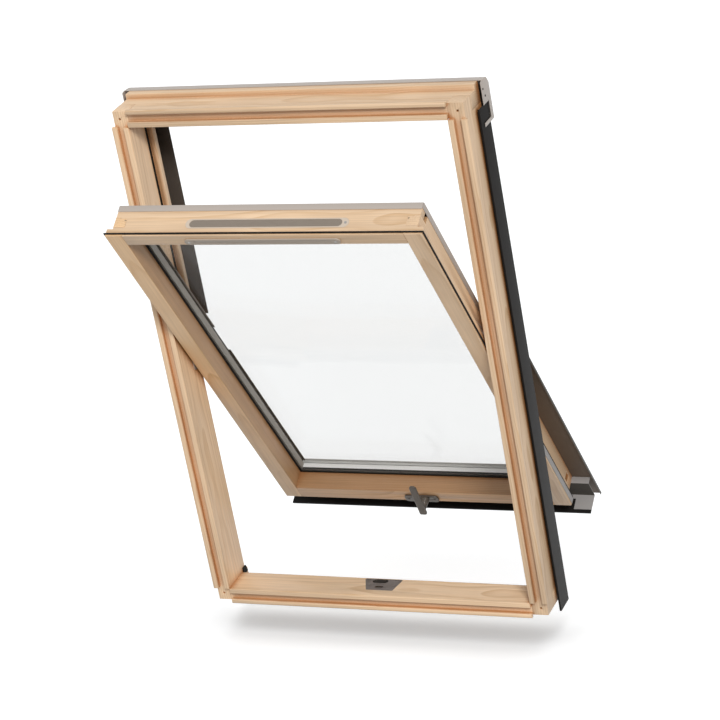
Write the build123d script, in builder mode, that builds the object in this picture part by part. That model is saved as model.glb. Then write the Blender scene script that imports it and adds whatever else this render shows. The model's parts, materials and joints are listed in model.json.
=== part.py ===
from build123d import *
import os

os.makedirs("parts", exist_ok=True)

# Centre-pivot roof window. X is width, Y is depth from the room towards the sky, Z is up the slope.
# The origin is the middle of the four corner holes, on the recessed corner faces that carry them.
# The sash is drawn closed and carried to its open place by one turn about the pivot axis.

# Frame timber
frame_width = 780
frame_height = 1170
frame_depth = 90
jamb_width = 35
rail_height = 33
lap_depth = 40
lip_out = 5
lip_depth = 10
lip_round = 4
inner_lip = 12
inner_round = 1.5
groove_width = 15
corner_hole_inset_x = 14.4
corner_hole_inset_z = 16.9
corner_hole_radius = 2.5
corner_hole_depth = 25
rebate_width = 11
rebate_front = 78
head_rib_front = 68
head_rib_rise = 11.5
sill_flat = 63
sill_back_height = 13
sill_seal_width = 6
sill_seal_depth = 9
sill_seal_sink = 4
seal_ear_front = 3
seal_ear_foot = 5.5
seal_ear_top = 2
seal_ear_height = 13
seal_ear_depth = 15

# Stop beads and frame seals
bead_width = 13
bead_front = 67
bead_bottom = 45
bead_round = 2
head_stop_height = 28
seal_groove_width = 11
seal_groove_depth = 8
seal_recess = 1
head_seal_height = 9
head_seal_depth = 4
head_seal_rise = 2

# Coated sheet of the frame
sheet = 1.2
side_clad_gap = 7.3
side_clad_front = 54
side_clad_back = 105
side_clad_overhang = 22
side_clad_short = 37
side_clad_hem = 3
side_clad_lap = 24
hood_front = 86
hood_bend = 109
hood_back = 118
hood_fall = 2
hood_shoulder = 13
hood_drop = 80
hood_side_gap = 1.5
hood_return = 12
hood_plate_drop = 37
hood_plate_front = 76
hood_tab_front = 68
hood_tab_height = 8
sill_clad_front = 72
sill_clad_drop = 7
upper_cover_bottom = 68
upper_cover_short = 15
upper_cover_reach = 4
upper_cover_gap = 2
upper_cover_foot = 14
cover_inset = 6

# Sash timber
sash_front = 38
sash_bottom_gap = 4
sash_top_gap = 53
sash_side_gap = 7
sash_flange_depth = 18
sash_face_round = 1.5
sash_body_inset = 13
sash_depth = 64
stile_width = 39
top_rail_height = 31.4
bottom_rail_height = 38
kerf_inset = 4
kerf_width = 2.5
kerf_depth = 6
tenon_inset = 22
tenon_depth = 24
dowel_radius = 2
dowel_length = 16
dowel_edge = 2.5
dowel_inset = 39
batten_width = 11
sash_seal_out = 3
lower_seal_width = 5
lower_seal_short = 0.5
edge_strip = 1
edge_strip_inset = 5

# Glazing
glass_seat = 43
glass_lap = 12
glass_room = 2
pane = 4
cavity = 16
inner_gasket = 1.5
gasket_show = 5
spacer_width = 13
edge_seal_width = 4
setting_block_length = 60
setting_block_share = 0.7

# Coated sheet of the sash
sash_sheet = 1.5
clad_depth = 74
top_clad_leg = 15
side_clad_leg = 13
clad_reach = 4
clad_joint = 0.5
upper_clad_bottom = 50
lower_cover_top = -40
lower_cover_leg = 4
cover_overhang = 19
bottom_clad_lap = 7
apron_left_inset = 36
apron_right_inset = 13
apron_plate = 57
apron_drop = 14
apron_front = 10
apron_seal_width = 8
apron_seal_height = 3
apron_pad_gap = 12

# Pivot
open_angle = 30.8
pivot_depth = 100
pin_radius = 5
pin_clearance = 0.06
pin_reach = 3.5
pivot_plate = 3
frame_plate_front = 55
frame_plate_back = 12
frame_plate_half = 36
sash_plate_front = 34
sash_plate_back = 11
sash_plate_half = 45
plate_round = 6
boss_radius = 11
washer = 2.4
washer_clearance = 0.3
pivot_screw_radius = 2
pivot_screw_length = 16
pivot_screw_head = 4
pivot_screw_head_height = 1
frame_screw_depth = 38
sash_screw_depth = 24
pivot_screw_rise = 24
sash_screw_rise = 34

# Air vent in the top rail
vent_offset = -1.5
vent_drop = 19.2
vent_cover_length = 342
vent_cover_height = 17
vent_cover_depth = 3
vent_end = 20
vent_slot_height = 10
flap_gap = 0.4
flap_axis_gap = 1.4
flap_top_gap = 0.7
flap_depth = 1.6
flap_pin_radius = 0.6
flap_pin_clearance = 0.06
flap_pin_length = 2.4
filter_offset = 7.5
filter_length = 359
filter_width = 23
filter_inset = 29.5
filter_depth = 2.5
filter_border = 2.5
filter_left_end = 8.5
filter_right_end = 14.5
filter_screw_inset = 7.5
channel_width = 12

# Lock in the middle of the bottom rail and its strike on the sill
lock_x = 5.5
base_x = -4.5
base_length = 80
base_height = 24
base_depth = 4
base_corner = 7
base_rise = 13.5
base_screw_inset = 9
spindle_rise = 18
spindle_radius = 4
spindle_clearance = 0.35
spindle_end = 9
hub_radius = 10
hub_depth = 10
hub_gap = 0.3
lever_width = 17
lever_above = 84
lever_below = 12
lever_tip_out = 20
lever_tip_thickness = 5
lever_toe_out = 33
lever_toe_thickness = 8
lever_round = 2
bolt_x = -13
bolt_width = 26
bolt_depth = 9
bolt_length = 22
bolt_inset = 10.5
bolt_clearance = 0.3
bolt_rise = 1
strike_sheet = 1.5
strike_back_left = -53
strike_back_right = 37
strike_front_left = -34
strike_front_right = 28.6
strike_front = 15
strike_back = 62
strike_round = 3
strike_slot_x = -13.5
strike_slot_length = 37
strike_slot_width = 16
strike_slot_y = 53
strike_small_slot_x = -7.8
strike_small_slot_length = 20
strike_small_slot_width = 8
strike_small_slot_y = 30
strike_mortise = 14
strike_screw_y = 36
strike_screw_left = -34
strike_screw_right = 25
screw_radius = 1.5
screw_head = 3
screw_head_height = 1
screw_length = 12
fit = 0.02

# Worked-out places of the frame
half_w = frame_width / 2
half_h = frame_height / 2
rib_top = half_h + head_rib_rise
clear_w = half_w - jamb_width
clear_h = half_h - rail_height
lip_w = half_w + lip_out
lip_h = half_h + lip_out
hole_x = half_w - corner_hole_inset_x
hole_z = half_h - corner_hole_inset_z
groove_x = clear_w + inner_lip
groove_z = clear_h + inner_lip
sill_slope_end = -half_h + sill_back_height
clad_back = frame_depth + sheet
clad_side = half_w + side_clad_gap
bead_inner = clear_w - bead_width
head_stop_bottom = clear_h - head_stop_height
cover_edge = half_w - cover_inset

# Worked-out places of the sash when it is closed
sash_bottom = -clear_h + sash_bottom_gap
sash_top = clear_h - sash_top_gap
sash_height = sash_top - sash_bottom
sash_flange = clear_w - sash_side_gap
flange_back = sash_front + sash_flange_depth
sash_back = sash_front + sash_depth
sash_body = sash_flange - sash_body_inset
day_w = sash_flange - stile_width
dowel_x = day_w + dowel_edge
upper_cover_inner = sash_body - upper_cover_reach
day_top = sash_top - top_rail_height
day_bottom = sash_bottom + bottom_rail_height
seat = sash_front + glass_seat
rebate_w = day_w + glass_lap + glass_room
rebate_top = day_top + glass_lap + glass_room
rebate_bottom = day_bottom - glass_lap - glass_room
glass_w = day_w + glass_lap
glass_top = day_top + glass_lap
glass_bottom = day_bottom - glass_lap
glass_front = seat + inner_gasket
glass_back = glass_front + 2 * pane + cavity
clad_under = sash_front + clad_depth
kerf_0 = sash_front + kerf_inset
kerf_1 = kerf_0 + kerf_width
tenon_0 = sash_front + tenon_inset
tenon_1 = tenon_0 + tenon_depth
vent_z = sash_top - vent_drop
vent_slot_length = vent_cover_length - 2 * vent_end
mesh_offset = filter_offset + (filter_left_end - filter_right_end) / 2
mesh_length = filter_length - filter_left_end - filter_right_end
mesh_width = filter_width - 2 * filter_border
filter_screw_x = filter_offset + filter_length / 2 - filter_screw_inset
filter_y = sash_front + filter_inset
spindle_z = sash_bottom + spindle_rise
apron_z = -half_h - apron_drop
apron_left = apron_left_inset - half_w
apron_right = half_w - apron_right_inset
cover_foot = apron_z - cover_overhang

sash_at = Pos(0, pivot_depth, 0) * Rot(open_angle, 0, 0) * Pos(0, -pivot_depth, 0)
sides = ((-1, "left"), (1, "right"))


def on_sash(plane):
    """The given plane of the closed sash, carried to the open sash."""
    return Plane(sash_at * plane.location)


def corners(u0, u1, v0, v1, mode=Mode.ADD):
    """A rectangle between two opposite corners of the current sketch."""
    with Locations(((u0 + u1) / 2, (v0 + v1) / 2)):
        Rectangle(abs(u1 - u0), abs(v1 - v0), mode=mode)


def block(x0, x1, y0, y1, z0, z1, mode=Mode.ADD):
    """A box between two opposite corners of the current part."""
    with Locations(((x0 + x1) / 2, (y0 + y1) / 2, (z0 + z1) / 2)):
        Box(abs(x1 - x0), abs(y1 - y0), abs(z1 - z0), mode=mode)


def rod(x, y, z, along, radius, length, mode=Mode.ADD):
    """A cylinder that starts at a point and runs along an axis, backwards for a negative length."""
    turn = {"x": (0, 90, 0), "y": (-90, 0, 0), "z": (0, 0, 0)}[along]
    with Locations(Location((x, y, z), turn)):
        with Locations((0, 0, length / 2)):
            Cylinder(radius, abs(length), mode=mode)


def folded(path, thickness):
    """Corner points of a folded sheet: the path, and the path set off to its left by the thickness."""
    points = [Vector(*p) for p in path]
    ways = [(b - a).normalized() for a, b in zip(points, points[1:])]
    left = []
    for i, point in enumerate(points):
        before = ways[max(i - 1, 0)]
        after = ways[min(i, len(ways) - 1)]
        normal = Vector(-before.Y - after.Y, before.X + after.X).normalized()
        left.append(point + normal * (thickness / normal.dot(Vector(-after.Y, after.X))))
    return [(p.X, p.Y) for p in points + left[::-1]]


def save(builder, name):
    """Label a finished piece and write it."""
    builder.part.label = name
    export_step(builder.part, f"parts/{name}.step")


# Frame jambs: the front half of the depth runs the full height and ends in plain corner blocks,
# the back half fits between the head and the sill
for side, word in sides:
    with BuildPart() as jamb:
        with BuildSketch(Plane.XY):
            corners(side * clear_w, side * half_w, 0, lap_depth)
        extrude(amount=half_h, both=True)
        with BuildSketch(Plane.XY):
            corners(side * clear_w, side * half_w, lap_depth, frame_depth)
            corners(side * clear_w, side * (clear_w + rebate_width), rebate_front, frame_depth,
                    Mode.SUBTRACT)
        extrude(amount=clear_h, both=True)
        with BuildSketch(Plane.XY) as inner_ridge:
            corners(side * clear_w, side * groove_x, -lip_depth, 0)
            fillet(inner_ridge.vertices().group_by(Axis.Y)[0], inner_round)
        extrude(amount=clear_h, both=True)
        with BuildSketch(Plane.XY) as outer_ridge:
            corners(side * (groove_x + groove_width), side * lip_w, -lip_depth, 0)
            fillet(outer_ridge.vertices().group_by(Axis.Y)[0], lip_round)
        extrude(amount=clear_h, both=True)
        for end in (-1, 1):
            rod(side * hole_x, 0, end * hole_z, "y", corner_hole_radius, corner_hole_depth, Mode.SUBTRACT)
            rod(side * clear_w, pivot_depth - frame_screw_depth, end * pivot_screw_rise, "x",
                pivot_screw_radius + fit, side * pivot_screw_length, Mode.SUBTRACT)
        block(side * clear_w, side * (clear_w + seal_groove_depth),
              bead_front - seal_groove_width, bead_front, bead_bottom, clear_h, Mode.SUBTRACT)
    save(jamb, f"frame_jamb_{word}")

# Frame head: its front half fits between the jambs, its back half laps over them and carries a rib
with BuildPart() as head:
    with BuildSketch(Plane.YZ):
        corners(0, lap_depth, clear_h, half_h)
    extrude(amount=clear_w, both=True)
    with BuildSketch(Plane.YZ):
        corners(lap_depth, frame_depth, clear_h, half_h)
        corners(head_rib_front, frame_depth, half_h, rib_top)
    extrude(amount=half_w, both=True)
    with BuildSketch(Plane.YZ) as inner_ridge:
        corners(-lip_depth, 0, clear_h, groove_z)
        fillet(inner_ridge.vertices().group_by(Axis.X)[0], inner_round)
    extrude(amount=clear_w, both=True)
    with BuildSketch(Plane.YZ) as outer_ridge:
        corners(-lip_depth, 0, groove_z + groove_width, lip_h)
        fillet(outer_ridge.vertices().group_by(Axis.X)[0], lip_round)
    extrude(amount=clear_w, both=True)
save(head, "frame_head")

# Frame sill: flat towards the room, a seal slot, then a slope to the back, with mortises for the lock
slope = (sill_slope_end + clear_h) / (frame_depth - sill_flat)
seal_back = sill_flat + sill_seal_width
with BuildPart() as sill:
    with BuildSketch(Plane.YZ):
        corners(0, lap_depth, -half_h, -clear_h)
    extrude(amount=clear_w, both=True)
    with BuildSketch(Plane.YZ):
        with BuildLine():
            Polyline(
                (lap_depth, -half_h), (frame_depth, -half_h), (frame_depth, sill_slope_end),
                (seal_back, -clear_h + slope * sill_seal_width), (seal_back, -clear_h - sill_seal_depth),
                (sill_flat, -clear_h - sill_seal_depth), (sill_flat, -clear_h), (lap_depth, -clear_h),
                close=True)
        make_face()
    extrude(amount=clear_w, both=True)
    for side, word in sides:
        block(side * clear_w, side * half_w, lap_depth, frame_depth, -half_h, -clear_h)
    with BuildSketch(Plane.YZ) as inner_ridge:
        corners(-lip_depth, 0, -groove_z, -clear_h)
        fillet(inner_ridge.vertices().group_by(Axis.X)[0], inner_round)
    extrude(amount=clear_w, both=True)
    with BuildSketch(Plane.YZ) as outer_ridge:
        corners(-lip_depth, 0, -lip_h, -groove_z - groove_width)
        fillet(outer_ridge.vertices().group_by(Axis.X)[0], lip_round)
    extrude(amount=clear_w, both=True)
    with BuildSketch(Plane.XY.offset(-clear_h)) as strike_seat:
        with BuildLine():
            Polyline((strike_back_left, strike_back), (strike_back_right, strike_back),
                     (strike_front_right, strike_front), (strike_front_left, strike_front), close=True)
        make_face()
        fillet(strike_seat.vertices(), strike_round)
    extrude(amount=-strike_sheet, mode=Mode.SUBTRACT)
    with BuildSketch(Plane.XY.offset(-clear_h)):
        with Locations((strike_slot_x, strike_slot_y)):
            SlotOverall(strike_slot_length, strike_slot_width)
        with Locations((strike_small_slot_x, strike_small_slot_y)):
            SlotOverall(strike_small_slot_length, strike_small_slot_width)
    extrude(amount=-strike_mortise, mode=Mode.SUBTRACT)
    for x in (strike_screw_left, strike_screw_right):
        rod(x, strike_screw_y, -clear_h, "z", screw_radius + fit, -screw_length, Mode.SUBTRACT)
save(sill, "frame_sill")

# Stop beads on the upper half of the jambs, which the sash flange closes against
for side, word in sides:
    with BuildPart() as bead:
        with BuildSketch(Plane.XY.offset(bead_bottom)) as section:
            corners(side * bead_inner, side * clear_w, bead_front, rebate_front)
            fillet(section.vertices().sort_by_distance((0, 0))[:1], bead_round)
        extrude(amount=clear_h - bead_bottom)
    save(bead, f"frame_stop_bead_{word}")

# Head stop, which closes the space between the head and the top of the sash
with BuildPart() as head_stop:
    with BuildSketch(Plane.YZ):
        corners(rebate_front, frame_depth, head_stop_bottom, clear_h)
    extrude(amount=clear_w, both=True)
save(head_stop, "frame_head_stop")

# Rubber seals of the upper half: a strip in each jamb's groove and one on the head stop
with BuildPart() as jamb_seals:
    for side, word in sides:
        block(side * (clear_w + seal_recess), side * (clear_w + seal_groove_depth),
              bead_front - seal_groove_width, bead_front, bead_bottom, clear_h)
save(jamb_seals, "frame_jamb_seals")

head_seal_0 = head_stop_bottom + head_seal_rise
with BuildPart() as head_seal:
    block(-bead_inner, bead_inner, rebate_front - head_seal_depth, rebate_front,
          head_seal_0, head_seal_0 + head_seal_height)
save(head_seal, "frame_head_seal")

# Rubber seal in the slot of the sill, turned up at the jambs
seal_top = -clear_h - sill_seal_sink
with BuildPart() as sill_seal:
    block(-clear_w, clear_w, sill_flat, seal_back, -clear_h - sill_seal_depth, seal_top)
    for side, word in sides:
        with BuildSketch(Plane.XZ.offset(-sill_flat - seal_ear_front)):
            with BuildLine():
                Polyline((side * clear_w, seal_top), (side * (clear_w - seal_ear_foot), seal_top),
                         (side * (clear_w - seal_ear_top), seal_top + seal_ear_height),
                         (side * clear_w, seal_top + seal_ear_height), close=True)
            make_face()
        extrude(amount=-seal_ear_depth)
save(sill_seal, "frame_sill_seal")

# Side claddings: a wall beside each jamb, hemmed in front, and a flange over the jamb's back
side_clad_foot = -half_h - side_clad_overhang
side_clad_top = half_h - side_clad_short
for side, word in sides:
    with BuildPart() as side_clad:
        block(side * clad_side, side * (clad_side + sheet), side_clad_front, side_clad_back,
              side_clad_foot, side_clad_top)
        block(side * (half_w - side_clad_lap), side * clad_side, frame_depth, clad_back,
              -half_h, side_clad_top)
        block(side * (clad_side - side_clad_hem), side * clad_side, side_clad_front, side_clad_front + sheet,
              side_clad_foot, side_clad_top)
    save(side_clad, f"frame_side_cladding_{word}")

# Head cladding: a hood seated on the head's rib, with a sloped shoulder and returns round the side claddings
skirt_z = rib_top - hood_fall
hood_side = clad_side + sheet + hood_side_gap
hood_foot = half_h - hood_drop
hood_line = folded([(hood_front, rib_top), (frame_depth, rib_top), (hood_bend, skirt_z),
                    (hood_back, skirt_z - hood_shoulder), (hood_back, hood_foot)], sheet)
with BuildPart() as hood:
    with BuildSketch(Plane.YZ):
        with BuildLine():
            Polyline(*hood_line, close=True)
        make_face()
    extrude(amount=hood_side, both=True)
    for side, word in sides:
        with BuildSketch(Plane.YZ.offset(side * hood_side)):
            with BuildLine():
                Polyline(
                    *hood_line[5:], (hood_plate_front, rib_top),
                    (hood_plate_front, half_h - hood_plate_drop),
                    (hood_back - hood_return, half_h - hood_plate_drop),
                    (hood_back - hood_return, hood_foot + hood_tab_height),
                    (hood_tab_front, hood_foot + hood_tab_height), (hood_tab_front, hood_foot), close=True)
            make_face()
        extrude(amount=side * sheet)
save(hood, "frame_head_cladding")

# Sill cladding: lies on the slope of the sill and turns down over its back
with BuildPart() as sill_clad:
    with BuildSketch(Plane.YZ):
        with BuildLine():
            Polyline(*folded([(sill_clad_front, -clear_h + slope * (sill_clad_front - sill_flat)),
                              (frame_depth, sill_slope_end), (frame_depth, -half_h - sill_clad_drop)],
                             sheet), close=True)
        make_face()
    extrude(amount=clear_w, both=True)
save(sill_clad, "frame_sill_cladding")

# Upper side covers: they stand on the side claddings and reach over the edges of the sash
cover_under = clad_under + sheet + upper_cover_gap
for side, word in sides:
    with BuildPart() as upper_cover:
        with BuildSketch(Plane.XY.offset(upper_cover_bottom)):
            corners(side * upper_cover_inner, side * cover_edge, cover_under, cover_under + sheet)
            corners(side * (cover_edge - sheet), side * cover_edge, clad_back, cover_under)
            corners(side * (cover_edge - upper_cover_foot), side * cover_edge, clad_back, clad_back + sheet)
        extrude(amount=half_h - upper_cover_short - upper_cover_bottom)
    save(upper_cover, f"frame_upper_cover_{word}")

# Pivot plates of the frame, each with its pin
for side, word in sides:
    with BuildPart() as frame_plate:
        with BuildSketch(Plane.YZ.offset(side * clear_w)) as plate_face:
            corners(pivot_depth - frame_plate_front, pivot_depth + frame_plate_back,
                    -frame_plate_half, frame_plate_half)
            fillet(plate_face.vertices(), plate_round)
        extrude(amount=-side * pivot_plate)
        rod(side * clear_w, pivot_depth, 0, "x", pin_radius, side * (sash_body + pin_reach - clear_w))
        for end in (-1, 1):
            rod(side * clear_w, pivot_depth - frame_screw_depth, end * pivot_screw_rise, "x",
                pivot_screw_radius + fit, -side * pivot_plate, Mode.SUBTRACT)
    save(frame_plate, f"frame_pivot_{word}")

# Screws of the frame's pivot plates
with BuildPart() as frame_screws:
    for side, word in sides:
        for end in (-1, 1):
            place = (side * (clear_w - pivot_plate), pivot_depth - frame_screw_depth,
                     end * pivot_screw_rise)
            rod(*place, "x", pivot_screw_radius, side * pivot_screw_length)
            rod(*place, "x", pivot_screw_head, -side * pivot_screw_head_height)
save(frame_screws, "frame_pivot_screws")

# Strike plate let into the sill, with a wide slot for the bolt and a small one in front of it
with BuildPart() as strike:
    with BuildSketch(Plane.XY.offset(-clear_h)) as strike_face:
        with BuildLine():
            Polyline((strike_back_left, strike_back), (strike_back_right, strike_back),
                     (strike_front_right, strike_front), (strike_front_left, strike_front), close=True)
        make_face()
        fillet(strike_face.vertices(), strike_round)
        with Locations((strike_slot_x, strike_slot_y)):
            SlotOverall(strike_slot_length, strike_slot_width, mode=Mode.SUBTRACT)
        with Locations((strike_small_slot_x, strike_small_slot_y)):
            SlotOverall(strike_small_slot_length, strike_small_slot_width, mode=Mode.SUBTRACT)
        with Locations((strike_screw_left, strike_screw_y), (strike_screw_right, strike_screw_y)):
            Circle(screw_radius + fit, mode=Mode.SUBTRACT)
    extrude(amount=-strike_sheet)
save(strike, "strike_plate")

with BuildPart() as strike_screws:
    for x in (strike_screw_left, strike_screw_right):
        rod(x, strike_screw_y, -clear_h, "z", screw_radius, -screw_length)
        rod(x, strike_screw_y, -clear_h, "z", screw_head, screw_head_height)
save(strike_screws, "strike_screws")

# Sash stiles: a flange towards the room, with a seal kerf on its upper half, and a rebated body.
# At each corner the stile runs through at the face and in the middle, and the rail's two cheeks cross it.
for side, word in sides:
    with BuildPart(on_sash(Plane.XY)) as stile:
        with BuildSketch(on_sash(Plane.XY.offset(sash_bottom))) as section:
            corners(side * day_w, side * sash_flange, sash_front, flange_back)
            fillet(section.vertices().group_by(Axis.Y)[0], sash_face_round)
            corners(side * day_w, side * sash_body, flange_back, sash_back)
            corners(side * day_w, side * rebate_w, seat, sash_back, Mode.SUBTRACT)
        extrude(amount=sash_height)
        block(side * (sash_flange - kerf_depth), side * sash_flange, kerf_0, kerf_1, 0, sash_top,
              Mode.SUBTRACT)
        block(side * day_w, side * sash_flange, kerf_0, kerf_1, sash_top - kerf_depth, sash_top,
              Mode.SUBTRACT)
        for y0, y1 in ((kerf_1, tenon_0), (tenon_1, sash_back)):
            block(side * day_w, side * sash_flange, y0, y1, day_top, sash_top, Mode.SUBTRACT)
            block(side * day_w, side * sash_flange, y0, y1, sash_bottom, day_bottom, Mode.SUBTRACT)
        rod(side * dowel_x, sash_front + dowel_inset, sash_top, "z", dowel_radius + fit, -dowel_length,
            Mode.SUBTRACT)
        for end in (-1, 1):
            rod(side * sash_body, pivot_depth - sash_screw_depth, end * sash_screw_rise, "x",
                pivot_screw_radius + fit, -side * pivot_screw_length / 2, Mode.SUBTRACT)
    save(stile, f"sash_stile_{word}")

# Dowels that pin the top corners
with BuildPart(on_sash(Plane.XY)) as dowels:
    for side, word in sides:
        rod(side * dowel_x, sash_front + dowel_inset, sash_top, "z", dowel_radius, -dowel_length)
save(dowels, "sash_corner_dowels")

# Top rail with the air channel: in through the filter on its top edge, out of its room face
with BuildPart(on_sash(Plane.XY)) as top_rail:
    with BuildSketch(on_sash(Plane.YZ.offset(-day_w))):
        corners(sash_front, sash_back, day_top, sash_top)
        corners(kerf_0, kerf_1, sash_top - kerf_depth, sash_top, Mode.SUBTRACT)
        corners(seat, sash_back, day_top, rebate_top, Mode.SUBTRACT)
    extrude(amount=2 * day_w)
    for side, word in sides:
        block(side * day_w, side * sash_flange, kerf_1, flange_back, day_top, sash_top)
        block(side * day_w, side * sash_body, flange_back, tenon_0, day_top, sash_top)
        block(side * day_w, side * rebate_w, seat, tenon_1, rebate_top, sash_top)
        block(side * day_w, side * sash_body, tenon_1, sash_back, rebate_top, sash_top)
    with BuildSketch(on_sash(Plane.XY.offset(sash_top))):
        with Locations((filter_offset, filter_y)):
            SlotOverall(filter_length, filter_width)
    extrude(amount=-filter_depth, mode=Mode.SUBTRACT)
    rod(filter_screw_x, filter_y, sash_top, "z", screw_radius + fit, -screw_length, Mode.SUBTRACT)
    channel_0 = vent_offset - vent_slot_length / 2
    channel_1 = vent_offset + vent_slot_length / 2
    channel_foot = vent_z - vent_slot_height / 2
    block(channel_0, channel_1, filter_y - channel_width / 2, filter_y + channel_width / 2,
          channel_foot, sash_top, Mode.SUBTRACT)
    block(channel_0, channel_1, sash_front, filter_y, channel_foot, channel_foot + vent_slot_height,
          Mode.SUBTRACT)
save(top_rail, "sash_top_rail")

# Bottom rail with the bolt's pocket and the spindle's bore
bolt_0 = sash_front + bolt_inset
with BuildPart(on_sash(Plane.XY)) as bottom_rail:
    with BuildSketch(on_sash(Plane.YZ.offset(-day_w))):
        corners(sash_front, sash_back, sash_bottom, day_bottom)
        corners(seat, sash_back, rebate_bottom, day_bottom, Mode.SUBTRACT)
    extrude(amount=2 * day_w)
    for side, word in sides:
        block(side * day_w, side * sash_flange, kerf_1, flange_back, sash_bottom, day_bottom)
        block(side * day_w, side * sash_body, flange_back, tenon_0, sash_bottom, day_bottom)
        block(side * day_w, side * rebate_w, seat, tenon_1, sash_bottom, rebate_bottom)
        block(side * day_w, side * sash_body, tenon_1, sash_back, sash_bottom, rebate_bottom)
    block(bolt_x - bolt_width / 2 - bolt_clearance, bolt_x + bolt_width / 2 + bolt_clearance,
          bolt_0 - bolt_clearance, bolt_0 + bolt_depth + bolt_clearance,
          sash_bottom, sash_bottom + bolt_rise + bolt_length + bolt_clearance, Mode.SUBTRACT)
    rod(lock_x, sash_front, spindle_z, "y", spindle_radius + spindle_clearance,
        spindle_end + spindle_clearance, Mode.SUBTRACT)
    for end in (-1, 1):
        rod(base_x + end * (base_length / 2 - base_screw_inset), sash_front, sash_bottom + base_rise, "y",
            screw_radius + fit, screw_length, Mode.SUBTRACT)
save(bottom_rail, "sash_bottom_rail")


def ring(inset_out, inset_in):
    """A rectangular ring on the glass, between two distances from the glass edge."""
    with Locations((0, (glass_top + glass_bottom) / 2)):
        Rectangle(2 * (glass_w - inset_out), glass_top - glass_bottom - 2 * inset_out)
        Rectangle(2 * (glass_w - inset_in), glass_top - glass_bottom - 2 * inset_in, mode=Mode.SUBTRACT)


# Sealed glass unit: two panes, a spacer frame, an edge seal and the gaskets on both faces
for name, depth in (("glass_inner_pane", glass_front), ("glass_outer_pane", glass_back - pane)):
    with BuildPart() as glass:
        with BuildSketch(on_sash(Plane.XZ.offset(-depth))):
            corners(-glass_w, glass_w, glass_bottom, glass_top)
        extrude(amount=-pane)
    save(glass, name)

rings = (
    ("glass_spacer", glass_front + pane, cavity, edge_seal_width, edge_seal_width + spacer_width),
    ("glass_edge_seal", glass_front + pane, cavity, 0, edge_seal_width),
    ("glass_inner_gasket", seat, inner_gasket, 0, glass_lap + gasket_show),
    ("glass_outer_gasket", glass_back, clad_under - glass_back, 0, glass_lap))
for name, depth, thickness, inset_out, inset_in in rings:
    with BuildPart() as glass_ring:
        with BuildSketch(on_sash(Plane.XZ.offset(-depth))):
            ring(inset_out, inset_in)
        extrude(amount=-thickness)
    save(glass_ring, name)

# Setting blocks that carry the glass in the bottom rebate
with BuildPart(on_sash(Plane.XY)) as setting_blocks:
    for side, word in sides:
        middle = side * setting_block_share * glass_w
        block(middle - setting_block_length / 2, middle + setting_block_length / 2, glass_front, sash_back,
              rebate_bottom, glass_bottom)
save(setting_blocks, "glass_setting_blocks")

# Seal in the kerf of the flange: along the top and down the upper half of each stile
seal_edge = sash_flange + sash_seal_out
with BuildPart(on_sash(Plane.XY)) as sash_seal:
    block(-seal_edge, seal_edge, kerf_0, kerf_1, sash_top - kerf_depth, sash_top + sash_seal_out)
    for side, word in sides:
        block(side * (sash_flange - kerf_depth), side * seal_edge, kerf_0, kerf_1, 0, sash_top)
save(sash_seal, "sash_upper_seal")

# Seals behind the flange and grey edge strips along the lower half of each stile
with BuildPart(on_sash(Plane.XY)) as lower_seals:
    for side, word in sides:
        block(side * sash_body, side * (sash_flange - lower_seal_short),
              flange_back, flange_back + lower_seal_width, sash_bottom, -upper_clad_bottom)
save(lower_seals, "sash_lower_seals")

with BuildPart(on_sash(Plane.XY)) as strips:
    for side, word in sides:
        block(side * sash_flange, side * (sash_flange + edge_strip),
              sash_front + edge_strip_inset, flange_back, sash_bottom, 0)
save(strips, "sash_edge_strips")

# Top cladding of the sash: a leg on the rail's top edge and a plate over the edge of the glass
with BuildPart() as top_clad:
    with BuildSketch(on_sash(Plane.YZ)):
        corners(clad_under + sheet - top_clad_leg, clad_under + sheet, sash_top, sash_top + sheet)
        corners(clad_under, clad_under + sheet, day_top - clad_reach, sash_top)
    extrude(amount=sash_body, both=True)
save(top_clad, "sash_top_cladding")

# Side claddings of the upper half: a leg down the stile's side and a plate over the edge of the glass
for side, word in sides:
    with BuildPart(on_sash(Plane.XY)) as upper_clad:
        block(side * sash_body, side * (sash_body + sheet),
              clad_under + sheet - side_clad_leg, clad_under + sheet, upper_clad_bottom, sash_top)
        block(side * (day_w - clad_reach), side * sash_body, clad_under, clad_under + sheet,
              upper_clad_bottom, day_top - clad_reach - clad_joint)
    save(upper_clad, f"sash_upper_cladding_{word}")

# Battens along the lower half of each stile, which carry the lower covers
with BuildPart(on_sash(Plane.XY)) as battens:
    for side, word in sides:
        block(side * (sash_body - batten_width), side * sash_body, sash_back, clad_under,
              sash_bottom, lower_cover_top)
save(battens, "sash_cover_battens")

# Lower side covers: from the glass over the stile and out over the frame's jamb, with a turned-in edge
for side, word in sides:
    with BuildPart(on_sash(Plane.XY)) as lower_cover:
        block(side * (day_w - clad_reach), side * cover_edge, clad_under, clad_under + sash_sheet,
              cover_foot, lower_cover_top)
        block(side * (cover_edge - sash_sheet), side * cover_edge, clad_under - lower_cover_leg, clad_under,
              cover_foot, lower_cover_top)
    save(lower_cover, f"sash_lower_cover_{word}")

# Bottom cladding between the lower covers
with BuildPart(on_sash(Plane.XY)) as bottom_clad:
    clad_half = day_w - clad_reach - clad_joint
    block(-clad_half, clad_half, clad_under, clad_under + sash_sheet,
          cover_foot, day_bottom + bottom_clad_lap)
save(bottom_clad, "sash_bottom_cladding")

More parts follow.
